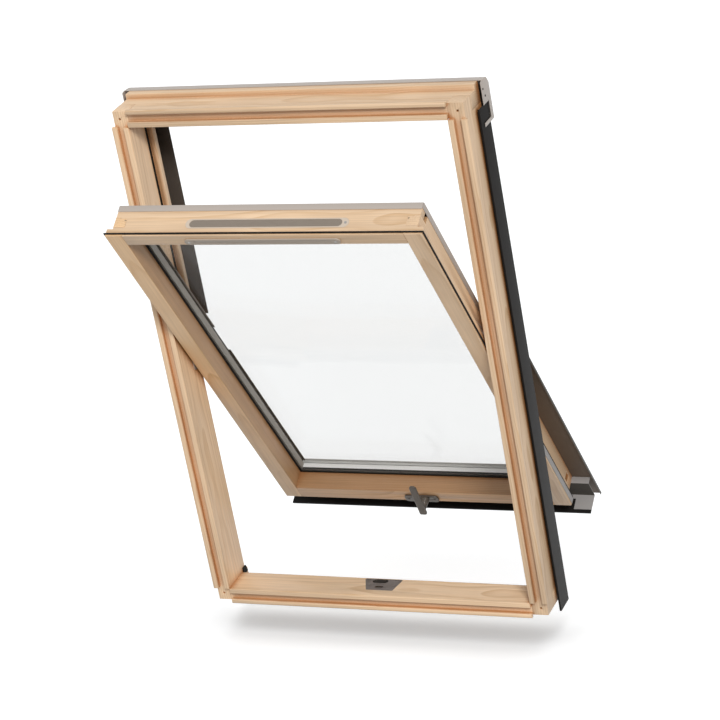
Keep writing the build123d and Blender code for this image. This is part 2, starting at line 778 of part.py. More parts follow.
# Apron: hangs from the bottom rail behind the frame's sill and turns back under it
apron_y = sash_front + apron_plate
with BuildPart(on_sash(Plane.XY)) as apron:
    with BuildSketch(on_sash(Plane.YZ.offset(apron_left))):
        corners(apron_y, clad_under, sash_bottom - sheet, sash_bottom)
        corners(apron_y, apron_y + sheet, apron_z, sash_bottom)
        corners(sash_front + apron_front, apron_y + sheet, apron_z - sheet, apron_z)
    extrude(amount=apron_right - apron_left)
save(apron, "sash_bottom_apron")

# Rubber strip along the free edge of the apron and a foam pad behind it, under the sash
apron_edge = sash_front + apron_front
with BuildPart(on_sash(Plane.XY)) as apron_seal:
    block(apron_left, apron_right, apron_edge, apron_edge + apron_seal_width,
          apron_z, apron_z + apron_seal_height)
    block(apron_left, sash_body, apron_edge + apron_seal_width, apron_y - apron_pad_gap,
          apron_z, apron_z + apron_seal_height)
save(apron_seal, "sash_apron_seal")

# Pivot plates of the sash, each with a bush that turns on the frame's pin, and friction washers
boss_end = clear_w - pivot_plate - washer - 2 * washer_clearance
for side, word in sides:
    with BuildPart(on_sash(Plane.XY)) as sash_plate:
        with BuildSketch(on_sash(Plane.YZ.offset(side * sash_body))):
            corners(pivot_depth - sash_plate_front, pivot_depth + sash_plate_back,
                    -sash_plate_half, sash_plate_half)
        extrude(amount=side * pivot_plate)
        rod(side * sash_body, pivot_depth, 0, "x", boss_radius, side * (boss_end - sash_body))
        rod(side * sash_body, pivot_depth, 0, "x", pin_radius + pin_clearance,
            side * (boss_end - sash_body), Mode.SUBTRACT)
        for end in (-1, 1):
            rod(side * sash_body, pivot_depth - sash_screw_depth, end * sash_screw_rise, "x",
                pivot_screw_radius + fit, side * pivot_plate, Mode.SUBTRACT)
    save(sash_plate, f"sash_pivot_{word}")

with BuildPart(on_sash(Plane.XY)) as washers:
    for side, word in sides:
        rod(side * (boss_end + washer_clearance), pivot_depth, 0, "x", boss_radius, side * washer)
        rod(side * (boss_end + washer_clearance), pivot_depth, 0, "x", pin_radius + pin_clearance,
            side * washer, Mode.SUBTRACT)
save(washers, "sash_friction_washers")

# Screws of the sash's pivot plates
with BuildPart(on_sash(Plane.XY)) as sash_screws:
    for side, word in sides:
        for end in (-1, 1):
            place = (side * (sash_body + pivot_plate), pivot_depth - sash_screw_depth, end * sash_screw_rise)
            rod(*place, "x", pivot_screw_radius, -side * pivot_screw_length / 2)
            rod(*place, "x", pivot_screw_head, side * pivot_screw_head_height)
save(sash_screws, "sash_pivot_screws")

# Vent cover on the room face of the top rail: a long rounded plate with a slot for the flap
flap_y = sash_front - vent_cover_depth / 2
flap_axis_z = vent_z + vent_slot_height / 2 - flap_axis_gap
vent_screw_reach = (vent_cover_length + vent_slot_length) / 4
with BuildPart(on_sash(Plane.XY)) as vent_cover:
    with BuildSketch(on_sash(Plane.XZ.offset(-sash_front))):
        with Locations((vent_offset, vent_z)):
            SlotOverall(vent_cover_length, vent_cover_height)
            Rectangle(vent_slot_length, vent_slot_height, mode=Mode.SUBTRACT)
        with Locations((vent_offset - vent_screw_reach, vent_z), (vent_offset + vent_screw_reach, vent_z)):
            Circle(screw_radius + fit, mode=Mode.SUBTRACT)
    extrude(amount=vent_cover_depth)
    for side, word in sides:
        rod(vent_offset + side * vent_slot_length / 2, flap_y, flap_axis_z, "x",
            flap_pin_radius + flap_pin_clearance, side * flap_pin_length, Mode.SUBTRACT)
save(vent_cover, "vent_cover")

# Vent flap: a strip that hangs on two small pins near its upper edge
flap_half = vent_slot_length / 2 - flap_gap
with BuildPart(on_sash(Plane.XY)) as vent_flap:
    block(vent_offset - flap_half, vent_offset + flap_half, flap_y - flap_depth / 2, flap_y + flap_depth / 2,
          vent_z - vent_slot_height / 2 + flap_gap, vent_z + vent_slot_height / 2 - flap_top_gap)
    for side, word in sides:
        rod(vent_offset + side * flap_half, flap_y, flap_axis_z, "x", flap_pin_radius,
            side * flap_pin_length)
save(vent_flap, "vent_flap")

# Screws at both ends of the vent cover and one at the end of the filter
with BuildPart(on_sash(Plane.XY)) as vent_screws:
    for side, word in sides:
        place = (vent_offset + side * vent_screw_reach, sash_front - vent_cover_depth, vent_z)
        rod(*place, "y", screw_radius, vent_cover_depth)
        rod(*place, "y", screw_head, -screw_head_height)
    rod(filter_screw_x, filter_y, sash_top, "z", screw_radius, -screw_length)
    rod(filter_screw_x, filter_y, sash_top, "z", screw_head, screw_head_height)
save(vent_screws, "vent_screws")

# Filter let into the top edge of the top rail: a rim and the mesh it holds
with BuildPart() as filter_rim:
    with BuildSketch(on_sash(Plane.XY.offset(sash_top))):
        with Locations((filter_offset, filter_y)):
            SlotOverall(filter_length, filter_width)
        with Locations((mesh_offset, filter_y)):
            SlotOverall(mesh_length, mesh_width, mode=Mode.SUBTRACT)
        with Locations((filter_screw_x, filter_y)):
            Circle(screw_radius + fit, mode=Mode.SUBTRACT)
    extrude(amount=-filter_depth)
save(filter_rim, "vent_filter_rim")

with BuildPart() as filter_mesh:
    with BuildSketch(on_sash(Plane.XY.offset(sash_top - filter_depth))):
        with Locations((mesh_offset, filter_y)):
            SlotOverall(mesh_length, mesh_width)
    extrude(amount=filter_depth / 2)
save(filter_mesh, "vent_filter_mesh")

# Handle base on the bottom rail
base_screw_reach = base_length / 2 - base_screw_inset
with BuildPart(on_sash(Plane.XY)) as handle_base:
    with BuildSketch(on_sash(Plane.XZ.offset(-sash_front))):
        with Locations((base_x, sash_bottom + base_rise)):
            RectangleRounded(base_length, base_height, base_corner)
        with Locations((lock_x, spindle_z)):
            Circle(spindle_radius + spindle_clearance, mode=Mode.SUBTRACT)
        with Locations((base_x - base_screw_reach, sash_bottom + base_rise),
                       (base_x + base_screw_reach, sash_bottom + base_rise)):
            Circle(screw_radius + fit, mode=Mode.SUBTRACT)
    extrude(amount=base_depth)
save(handle_base, "handle_base")

with BuildPart(on_sash(Plane.XY)) as handle_screws:
    for end in (-1, 1):
        place = (base_x + end * base_screw_reach, sash_front - base_depth, sash_bottom + base_rise)
        rod(*place, "y", screw_radius, screw_length)
        rod(*place, "y", screw_head, -screw_head_height)
save(handle_screws, "handle_screws")

# Handle lever: a hub and a bar that leans away from the sash towards its toe
hub_back = sash_front - base_depth - hub_gap
hub_front = hub_back - hub_depth
with BuildPart(on_sash(Plane.XY)) as lever:
    with BuildSketch(on_sash(Plane.YZ.offset(lock_x - lever_width / 2))) as lever_side:
        with BuildLine():
            Polyline(
                (sash_front - lever_tip_out, spindle_z + lever_above),
                (sash_front - lever_tip_out - lever_tip_thickness, spindle_z + lever_above),
                (sash_front - lever_toe_out - lever_toe_thickness, spindle_z - lever_below),
                (sash_front - lever_toe_out, spindle_z - lever_below),
                (hub_front, spindle_z - hub_radius), (hub_front, spindle_z + hub_radius), close=True)
        make_face()
        fillet(lever_side.vertices().group_by(Axis.X)[0], lever_round)
        fillet(lever_side.vertices().group_by(Axis.Y)[-1], lever_round)
    extrude(amount=lever_width)
    rod(lock_x, hub_back, spindle_z, "y", hub_radius, -hub_depth)
save(lever, "handle_lever")

with BuildPart(on_sash(Plane.XY)) as spindle:
    rod(lock_x, hub_back, spindle_z, "y", spindle_radius, sash_front + spindle_end - hub_back)
save(spindle, "handle_spindle")

# Bolt in the bottom rail, drawn back in its pocket
with BuildPart(on_sash(Plane.XY)) as bolt:
    block(bolt_x - bolt_width / 2, bolt_x + bolt_width / 2, bolt_0, bolt_0 + bolt_depth,
          sash_bottom + bolt_rise, sash_bottom + bolt_rise + bolt_length)
save(bolt, "latch_bolt")
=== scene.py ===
import json

import bmesh
import bpy
import numpy as np
from mathutils import Matrix, Vector

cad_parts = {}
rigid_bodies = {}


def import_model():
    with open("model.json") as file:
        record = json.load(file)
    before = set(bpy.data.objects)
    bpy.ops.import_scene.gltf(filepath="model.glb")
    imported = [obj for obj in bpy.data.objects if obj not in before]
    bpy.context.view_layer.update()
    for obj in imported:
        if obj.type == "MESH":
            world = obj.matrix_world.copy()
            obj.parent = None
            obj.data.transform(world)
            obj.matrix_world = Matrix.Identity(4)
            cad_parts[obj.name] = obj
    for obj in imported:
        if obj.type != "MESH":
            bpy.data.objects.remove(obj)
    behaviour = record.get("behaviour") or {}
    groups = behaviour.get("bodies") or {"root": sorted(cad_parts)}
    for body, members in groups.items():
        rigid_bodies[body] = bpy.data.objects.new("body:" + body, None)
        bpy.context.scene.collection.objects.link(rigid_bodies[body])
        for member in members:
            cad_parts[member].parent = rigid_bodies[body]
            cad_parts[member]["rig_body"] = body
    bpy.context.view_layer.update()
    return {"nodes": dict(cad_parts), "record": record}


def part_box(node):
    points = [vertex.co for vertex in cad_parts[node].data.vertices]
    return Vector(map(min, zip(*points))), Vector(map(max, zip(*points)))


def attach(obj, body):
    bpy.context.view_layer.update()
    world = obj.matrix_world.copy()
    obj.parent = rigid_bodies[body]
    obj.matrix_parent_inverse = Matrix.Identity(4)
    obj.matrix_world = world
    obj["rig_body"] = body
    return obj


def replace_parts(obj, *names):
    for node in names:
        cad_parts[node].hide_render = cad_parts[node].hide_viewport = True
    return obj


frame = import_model()

# Frame timber: two jambs, a head and a sill of laminated pine, planed, glued at lapped corners and
# lacquered clear. Every edge is eased with a small round, so each joint shows as a fine line.
TIMBER_EASE = 0.0009
EARLY_WOOD = (0.79, 0.585, 0.395, 1)
MID_WOOD = (0.74, 0.525, 0.335, 1)
LATE_WOOD = (0.60, 0.385, 0.205, 1)
# Nook colour: painted shade, a darker, more orange colour put into grooves and inner corners that an
# occlusion node finds.
NOOK_PAINTED_SHADE = (0.62, 0.37, 0.19, 1)
NOOK_SHADE_REACH = 0.022
RING_SPACING = 0.0045
PITH_LEAN = 0.014
ALONG_Z = (0.0, 0.0, 0.0)
ALONG_X = (0.0, -np.pi / 2, 0.0)


def eased(node, ease, material, other=None, where=None):
    """A copy of a CAD node with its doubles merged and flat faces joined, whose sharp edges get a round
    of radius ease in two steps. It stands for the node, on the node's body. The faces for
    which where(centre, normal) is true get the other material."""
    source = frame["nodes"][node]
    work = bmesh.new()
    work.from_mesh(source.data)
    bmesh.ops.remove_doubles(work, verts=work.verts, dist=1e-6)
    bmesh.ops.dissolve_limit(work, angle_limit=0.002, verts=work.verts, edges=work.edges)
    mesh = bpy.data.meshes.new(node + "_eased")
    work.to_mesh(mesh)
    work.free()
    mesh.materials.clear()
    mesh.materials.append(material)
    if other:
        mesh.materials.append(other)
    piece = bpy.data.objects.new(node + "_eased", mesh)
    bpy.context.scene.collection.objects.link(piece)
    bevel = piece.modifiers.new("ease", "BEVEL")
    bevel.width = ease
    bevel.segments = 2
    bevel.limit_method = "ANGLE"
    bevel.angle_limit = np.radians(35)
    bevel.harden_normals = True
    for face in mesh.polygons:
        face.use_smooth = True
        face.material_index = int(where is not None and where(face.center, face.normal))
    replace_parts(piece, node)
    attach(piece, source["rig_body"])
    return piece


def finished(node, material):
    """Give a CAD node, as it is, a better material."""
    mesh = frame["nodes"][node].data
    mesh.materials.clear()
    mesh.materials.append(material)


def links(tree, *pairs):
    """Join output and input sockets of a node tree, pair by pair."""
    for out, into in pairs:
        tree.links.new(out, into)


def pine(name, turn, pith, shade=1.0, tone_by=(1, 1, 1), nook_shade=NOOK_PAINTED_SHADE):
    """Lacquered pine. The board is turned so that its length is texture Z. Growth rings are circles round
    a pith that stands off the board and leans a little, so that they cut its faces as long arches. A slow
    noise bends them, a patchy one lets them fade in places, a stretched one gives the fibres and a broad
    one the drift of colour. The whole is multiplied by a shade and a tone. Grooves and inner corners, which
    an occlusion node finds, take the darker, more orange nook colour: painted shade."""
    material = bpy.data.materials.new(name)
    material.use_nodes = True
    tree = material.node_tree
    shader = tree.nodes["Principled BSDF"]
    shader.inputs["Roughness"].default_value = 0.46
    shader.inputs["Coat Weight"].default_value = 0.12
    shader.inputs["Coat Roughness"].default_value = 0.35
    place = tree.nodes.new("ShaderNodeTexCoord")
    board = tree.nodes.new("ShaderNodeMapping")
    board.inputs["Rotation"].default_value = turn
    lean = tree.nodes.new("ShaderNodeMapping")
    lean.inputs["Location"].default_value = (*pith, 0)
    lean.inputs["Rotation"].default_value = (PITH_LEAN, 0.6 * PITH_LEAN, 0)
    rings = tree.nodes.new("ShaderNodeTexWave")
    rings.wave_type = "RINGS"
    rings.rings_direction = "Z"
    rings.wave_profile = "SAW"
    rings.inputs["Scale"].default_value = 2 * np.pi / 20 / RING_SPACING
    rings.inputs["Distortion"].default_value = 9.0
    rings.inputs["Detail"].default_value = 2.0
    rings.inputs["Detail Scale"].default_value = 0.07
    tone = tree.nodes.new("ShaderNodeValToRGB")
    tone.color_ramp.elements[0].color = EARLY_WOOD
    tone.color_ramp.elements[1].color = EARLY_WOOD
    for at, colour in ((0.55, MID_WOOD), (0.86, LATE_WOOD), (0.94, LATE_WOOD)):
        tone.color_ramp.elements.new(at).color = colour
    toned = tree.nodes.new("ShaderNodeVectorMath")
    toned.operation = "MULTIPLY"
    toned.inputs[1].default_value = tone_by
    patch = tree.nodes.new("ShaderNodeTexNoise")
    patch.inputs["Scale"].default_value = 9.0
    patch_span = tree.nodes.new("ShaderNodeMapRange")
    patch_span.inputs["From Min"].default_value = 0.35
    patch_span.inputs["From Max"].default_value = 0.65
    patch_span.inputs["To Min"].default_value = 0.15
    patch_span.inputs["To Max"].default_value = 0.75
    ringed = tree.nodes.new("ShaderNodeMix")
    ringed.data_type = "RGBA"
    ringed.inputs[6].default_value = MID_WOOD
    stretch = tree.nodes.new("ShaderNodeVectorMath")
    stretch.operation = "MULTIPLY"
    stretch.inputs[1].default_value = (300, 300, 6)
    fibre = tree.nodes.new("ShaderNodeTexNoise")
    fibre.inputs["Scale"].default_value = 1.0
    fibre.inputs["Detail"].default_value = 3.0
    drift = tree.nodes.new("ShaderNodeTexNoise")
    drift.inputs["Scale"].default_value = 5.0
    fibre_span = tree.nodes.new("ShaderNodeMapRange")
    fibre_span.inputs["To Min"].default_value = 0.80 * shade
    fibre_span.inputs["To Max"].default_value = 1.20 * shade
    drift_span = tree.nodes.new("ShaderNodeMapRange")
    drift_span.inputs["To Min"].default_value = 0.86
    drift_span.inputs["To Max"].default_value = 1.14
    grain = tree.nodes.new("ShaderNodeMath")
    grain.operation = "MULTIPLY"
    tint = tree.nodes.new("ShaderNodeVectorMath")
    tint.operation = "SCALE"
    # Painted shade: an occlusion node darkens and warms the colour in grooves and inner corners.
    nook = tree.nodes.new("ShaderNodeAmbientOcclusion")
    nook.samples = 6
    nook.inputs["Distance"].default_value = NOOK_SHADE_REACH
    open_span = tree.nodes.new("ShaderNodeMapRange")
    open_span.inputs["From Min"].default_value = 0.40
    open_span.inputs["From Max"].default_value = 0.85
    painted_nook_shade = tree.nodes.new("ShaderNodeMix")
    painted_nook_shade.data_type = "RGBA"
    painted_nook_shade.inputs[6].default_value = nook_shade
    painted_nook_shade.inputs[7].default_value = (1, 1, 1, 1)
    wood = tree.nodes.new("ShaderNodeVectorMath")
    wood.operation = "MULTIPLY"
    bump = tree.nodes.new("ShaderNodeBump")
    bump.inputs["Strength"].default_value = 0.12
    bump.inputs["Distance"].default_value = 0.0004
    links(tree, (place.outputs["Object"], board.inputs["Vector"]),
          (board.outputs["Vector"], lean.inputs["Vector"]),
          (lean.outputs["Vector"], rings.inputs["Vector"]),
          (rings.outputs["Fac"], tone.inputs["Fac"]),
          (board.outputs["Vector"], patch.inputs["Vector"]),
          (patch.outputs["Fac"], patch_span.inputs["Value"]),
          (patch_span.outputs["Result"], ringed.inputs[0]),
          (tone.outputs["Color"], ringed.inputs[7]),
          (ringed.outputs[2], toned.inputs[0]),
          (board.outputs["Vector"], stretch.inputs[0]),
          (stretch.outputs["Vector"], fibre.inputs["Vector"]),
          (fibre.outputs["Fac"], fibre_span.inputs["Value"]),
          (board.outputs["Vector"], drift.inputs["Vector"]),
          (drift.outputs["Fac"], drift_span.inputs["Value"]),
          (fibre_span.outputs["Result"], grain.inputs[0]),
          (drift_span.outputs["Result"], grain.inputs[1]),
          (toned.outputs["Vector"], tint.inputs[0]),
          (grain.outputs["Value"], tint.inputs["Scale"]),
          (nook.outputs["AO"], open_span.inputs["Value"]),
          (open_span.outputs["Result"], painted_nook_shade.inputs[0]),
          (tint.outputs["Vector"], wood.inputs[0]),
          (painted_nook_shade.outputs[2], wood.inputs[1]),
          (wood.outputs["Vector"], shader.inputs["Base Color"]),
          (fibre.outputs["Fac"], bump.inputs["Height"]),
          (bump.outputs["Normal"], shader.inputs["Normal"]))
    return material


for node, turn, pith, shade in (
        ("frame_jamb_left", ALONG_Z, (0.42, -0.03), 1.14),
        ("frame_jamb_right", ALONG_Z, (-0.32, -0.04), 1.0),
        ("frame_head", ALONG_X, (0.50, -0.04), 1.0),
        ("frame_stop_bead_left", ALONG_Z, (0.30, 0.02), 1.0),
        ("frame_stop_bead_right", ALONG_Z, (-0.38, 0.03), 1.0),
        ("frame_head_stop", ALONG_X, (0.45, -0.02), 1.0)):
    eased(node, TIMBER_EASE, pine(node + "_pine", turn, pith, shade))

# Sill: the frame's bottom member, of the same pine, glued to the jambs. Two mortises are routed under the
# strike, and their cut walls are painted near black: painted shade for the dark inside of the slots.
# Painted shade: near black for the walls of the mortises.
MORTISE_SHADE_COLOUR = (0.030, 0.024, 0.019, 1)

shaded_mortise_wood = bpy.data.materials.new("painted_shade_mortise")
shaded_mortise_wood.use_nodes = True
shader = shaded_mortise_wood.node_tree.nodes["Principled BSDF"]
shader.inputs["Base Color"].default_value = MORTISE_SHADE_COLOUR
shader.inputs["Roughness"].default_value = 0.8
strike_low, strike_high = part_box("strike_plate")


def in_mortise(centre, normal):
    """True for a face below the strike and inside its outline."""
    return (strike_low.x < centre.x < strike_high.x and strike_low.y < centre.y < strike_high.y
            and strike_low.z - 0.02 < centre.z < strike_low.z - 0.0005)


eased("frame_sill", TIMBER_EASE, pine("frame_sill_pine", ALONG_X, (-0.63, -0.02), 1.07),
      shaded_mortise_wood, in_mortise)

# Frame seals: black rubber strips pressed into grooves of the jambs, the head stop and the sill.
# They are extruded and matt.
RUBBER_COLOUR = (0.006, 0.0055, 0.005, 1)

rubber = bpy.data.materials.new("black_rubber")
rubber.use_nodes = True
shader = rubber.node_tree.nodes["Principled BSDF"]
shader.inputs["Base Color"].default_value = RUBBER_COLOUR
shader.inputs["Roughness"].default_value = 0.62
shader.inputs["Specular IOR Level"].default_value = 0.2
for node in ("frame_jamb_seals", "frame_head_seal", "frame_sill_seal"):
    finished(node, rubber)

# Frame cladding: folded aluminium sheet coated dark grey outside, on the sides, the sill and the covers.
# It hooks over the timber's back and is screwed there.
DARK_COAT = (0.012, 0.0105, 0.0098, 1)
COVER_COAT = (0.055, 0.050, 0.043, 1)
# The upper covers' brown back coat is set darker than the sash covers' back coat: a real back coat, partly
# painted shade for the shadow under the head.
SHADED_BACK_COAT = (0.070, 0.055, 0.044, 1)
PALE_COAT = (0.46, 0.405, 0.36, 1)
SHEET_EASE = 0.0004


def coated_sheet(name, colour, metallic, roughness, shine=0.5):
    """Coil-coated sheet: an even colour with a fine orange-peel bump."""
    material = bpy.data.materials.new(name)
    material.use_nodes = True
    tree = material.node_tree
    shader = tree.nodes["Principled BSDF"]
    shader.inputs["Base Color"].default_value = colour
    shader.inputs["Metallic"].default_value = metallic
    shader.inputs["Roughness"].default_value = roughness
    shader.inputs["Specular IOR Level"].default_value = shine
    place = tree.nodes.new("ShaderNodeTexCoord")
    peel = tree.nodes.new("ShaderNodeTexNoise")
    peel.inputs["Scale"].default_value = 700.0
    bump = tree.nodes.new("ShaderNodeBump")
    bump.inputs["Strength"].default_value = 0.06
    bump.inputs["Distance"].default_value = 0.0003
    links(tree, (place.outputs["Object"], peel.inputs["Vector"]),
          (peel.outputs["Fac"], bump.inputs["Height"]),
          (bump.outputs["Normal"], shader.inputs["Normal"]))
    return material


dark_sheet = coated_sheet("dark_coated_sheet", DARK_COAT, 0.0, 0.5, 0.08)
cover_sheet = coated_sheet("cover_coated_sheet", COVER_COAT, 0.0, 0.5, 0.2)
pale_sheet = coated_sheet("pale_coated_sheet", PALE_COAT, 0.0, 0.40)
shaded_back_coat = coated_sheet("brown_back_coat_partly_shaded", SHADED_BACK_COAT, 0.0, 0.55, 0.25)


def room_side(centre, normal):
    """True for a face of the frame that looks into the room."""
    return normal.y < -0.5


for node in ("frame_side_cladding_left", "frame_side_cladding_right", "frame_sill_cladding"):
    eased(node, SHEET_EASE, dark_sheet)
# The upper covers' room-facing faces take the darker brown back coat, partly painted shade.
for node in ("frame_upper_cover_left", "frame_upper_cover_right"):
    eased(node, SHEET_EASE, cover_sheet, shaded_back_coat, room_side)
eased("frame_head_cladding", SHEET_EASE, pale_sheet)

# Hood screws: two small steel screws with dark heads in each end plate of the hood. They go through the
# plate into the end of the head.
HOOD_SCREWS = ((0.0833, 0.5801), (0.0905, 0.5633))
HOOD_SCREW_RADIUS = 0.0022
SCREW_HEAD_HEIGHT = 0.001


def made(name, tubes, material, body):
    """One piece made of tubes. Each tube is an array of rings of points: neighbouring rings are joined by
    quads, and the first and last ring are each closed by one face."""
    points, faces, start = [], [], 0
    for tube in tubes:
        rings, count = tube.shape[:2]
        ids = start + np.arange(rings * count).reshape(rings, count)
        after = np.roll(ids, -1, axis=1)
        faces += np.stack([ids[:-1], after[:-1], after[1:], ids[1:]], axis=-1).reshape(-1, 4).tolist()
        faces += [ids[0, ::-1].tolist(), ids[-1].tolist()]
        points.append(tube.reshape(-1, 3))
        start += rings * count
    mesh = bpy.data.meshes.new(name)
    mesh.from_pydata(np.concatenate(points).tolist(), [], faces)
    mesh.polygons.foreach_set("use_smooth", np.ones(len(faces), dtype=bool))
    mesh.set_sharp_from_angle(angle=np.radians(40))
    mesh.materials.append(material)
    piece = bpy.data.objects.new(name, mesh)
    bpy.context.scene.collection.objects.link(piece)
    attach(piece, body)
    return piece


def screw_heads(name, seats, radius, material, body):
    """Pan heads with a cross recess, one for each seat and axis. A head is a polar grid: its rim rises
    straight from the seat to three fifths of its height, its crown is a paraboloid above that, and inside
    two crossed bars it is sunk by half of its height."""
    reach = radius * np.array([1, 1, 0.92, 0.8, 0.66, 0.56, 0.46, 0.36, 0.26, 0.16, 0.08])
    angle, ring = np.meshgrid(np.linspace(0, 2 * np.pi, 40, endpoint=False), reach)
    across, along = ring * np.cos(angle), ring * np.sin(angle)
    sunk = (np.minimum(abs(across), abs(along)) < 0.14 * radius) & (ring < 0.6 * radius)
    rise = SCREW_HEAD_HEIGHT * (0.6 + 0.4 * (1 - (ring / radius) ** 2) - 0.5 * sunk)
    rise[0] = 0
    tubes = []
    for seat, axis in seats:
        axis = Vector(axis).normalized()
        side = axis.orthogonal().normalized()
        frame_of = np.array([side, axis.cross(side), axis])
        tubes.append(np.array(seat) + np.stack([across, along, rise], axis=-1) @ frame_of)
    return made(name, tubes, material, body)


hood_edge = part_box("frame_head_cladding")[1].x
hood_seats = [((side * hood_edge, y, z), (side, 0, 0)) for side in (-1, 1) for y, z in HOOD_SCREWS]
screw_heads("hood_screws", hood_seats, HOOD_SCREW_RADIUS, dark_sheet, "frame")

# Frame pivots: a zinc-plated steel plate with a turned pin on each jamb, on which the sash swings.
# Screws hold each plate to its jamb.
STEEL_COLOUR = (0.42, 0.40, 0.38, 1)


def plated_steel(name, colour, roughness):
    """Zinc-plated steel: metal whose roughness wanders with a noise."""
    material = bpy.data.materials.new(name)
    material.use_nodes = True
    tree = material.node_tree
    shader = tree.nodes["Principled BSDF"]
    shader.inputs["Base Color"].default_value = colour
    shader.inputs["Metallic"].default_value = 0.85
    place = tree.nodes.new("ShaderNodeTexCoord")
    cloud = tree.nodes.new("ShaderNodeTexNoise")
    cloud.inputs["Scale"].default_value = 120.0
    span = tree.nodes.new("ShaderNodeMapRange")
    span.inputs["To Min"].default_value = roughness - 0.08
    span.inputs["To Max"].default_value = roughness + 0.08
    links(tree, (place.outputs["Object"], cloud.inputs["Vector"]),
          (cloud.outputs["Fac"], span.inputs["Value"]),
          (span.outputs["Result"], shader.inputs["Roughness"]))
    return material


zinc = plated_steel("zinc_plated_steel", STEEL_COLOUR, 0.42)
for node in ("frame_pivot_left", "frame_pivot_right", "frame_pivot_screws"):
    finished(node, zinc)

# Strike plate: stamped steel with a slot for the bolt, let flush into the sill in front of the seal.
# Two screws with crossed heads hold it down.
STRIKE_COLOUR = (0.21, 0.18, 0.165, 1)
SCREW_RADIUS = 0.003


def head_seats(node, axes):
    """Where the heads of a CAD node's screws sit, in order of X, given each screw's axis. Gaps along X part
    the screws. A seat is the middle of the head's top, moved back by the head's height."""
    mesh = frame["nodes"][node].data
    points = np.empty(3 * len(mesh.vertices), dtype=np.float32)
    mesh.vertices.foreach_get("co", points)
    points = points.reshape(-1, 3)
    points = points[np.argsort(points[:, 0])]
    seats = []
    for group, axis in zip(np.split(points, np.flatnonzero(np.diff(points[:, 0]) > SCREW_RADIUS) + 1), axes):
        along = group @ np.array(axis)
        top = group[along > along.max() - 1e-5].mean(axis=0)
        seats.append((top - SCREW_HEAD_HEIGHT * np.array(axis), axis))
    return seats


strike_steel = plated_steel("strike_steel", STRIKE_COLOUR, 0.45)
eased("strike_plate", SHEET_EASE, strike_steel)
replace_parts(screw_heads("strike_screw_heads", head_seats("strike_screws", [Vector((0, 0, 1))] * 2),
                        SCREW_RADIUS, strike_steel, "frame"), "strike_screws")

# Sash timber: two stiles and two rails of the same pine, mortised, pinned and glued at the corners,
# tilted open on the pivots. The edges that face the glass, and the bottom rail all over, are painted
# darker and warmer: painted shade. Battens lift the covers.
SASH_TILT = np.radians(30.8)
UP_SASH = (-SASH_TILT, 0.0, 0.0)
ACROSS_SASH = (-SASH_TILT, -np.pi / 2, 0.0)
# The sash's nook colour is a milder painted shade for its grooves and inner corners.
SASH_NOOK_PAINTED_SHADE = (0.80, 0.64, 0.48, 1)
# Painted shade: darker, warmer multipliers for the edges facing the glass and for the bottom rail.
REVEAL_PAINTED_SHADE = (0.60, 0.50, 0.40)
BOTTOM_REVEAL_PAINTED_SHADE = (0.46, 0.36, 0.27)
LEFT_STILE_TONE = (1.06, 1.0, 0.89)
BOTTOM_RAIL_PAINTED_SHADE = (0.88, 0.74, 0.61)
SASH_UP = Vector((0.0, -np.sin(SASH_TILT), np.cos(SASH_TILT)))
ACROSS = Vector((1.0, 0.0, 0.0))

for node, turn, pith, tone, reveal, inward in (
        ("sash_stile_left", UP_SASH, (0.325, -0.10), LEFT_STILE_TONE, REVEAL_PAINTED_SHADE, ACROSS),
        ("sash_stile_right", UP_SASH, (-0.325, -0.10), (1, 1, 1), REVEAL_PAINTED_SHADE, -ACROSS),
        ("sash_top_rail", ACROSS_SASH, (0.378, -0.055), (1, 1, 1), REVEAL_PAINTED_SHADE, -SASH_UP),
        ("sash_bottom_rail", ACROSS_SASH, (-0.56, -0.10), BOTTOM_RAIL_PAINTED_SHADE, BOTTOM_REVEAL_PAINTED_SHADE, SASH_UP)):
    eased(node, TIMBER_EASE, pine(node + "_pine", turn, pith, tone_by=tone, nook_shade=SASH_NOOK_PAINTED_SHADE),
          pine(node + "_reveal_painted_shade_pine", turn, pith, tone_by=reveal, nook_shade=SASH_NOOK_PAINTED_SHADE),
          lambda centre, normal: normal.dot(inward) > 0.6)
eased("sash_cover_battens", TIMBER_EASE, pine("batten_pine", UP_SASH, (0.1, 0.05)))
finished("sash_corner_dowels", pine("dowel_beech", UP_SASH, (0.31, 0.02), 0.5))

# Sealed glass unit: two clear panes on an aluminium spacer, sealed round the edge and bedded in rubber in
# the sash's rebate. The up-facing foot of the spacer and the foot of the outer gasket are painted near
# white, a painted reflection of the white floor and room, and the spacer's foot is black on the room side
# of a set depth.
CLEAR_GLASS = (0.941, 0.941, 0.939, 1)
HEAD_ON_SHINE = 0.008
EDGE_ON_SHINE = 0.45
SPACER_COLOUR = (0.34, 0.315, 0.28, 1)
# Painted reflection: near white of the white floor and room, put on the feet of the spacer and outer gasket.
FOOT_PAINTED_REFLECTION = (0.90, 0.90, 0.88, 1)
BLACK_FOOT_DEPTH = 0.0774
FOOT_HEIGHT = -0.558

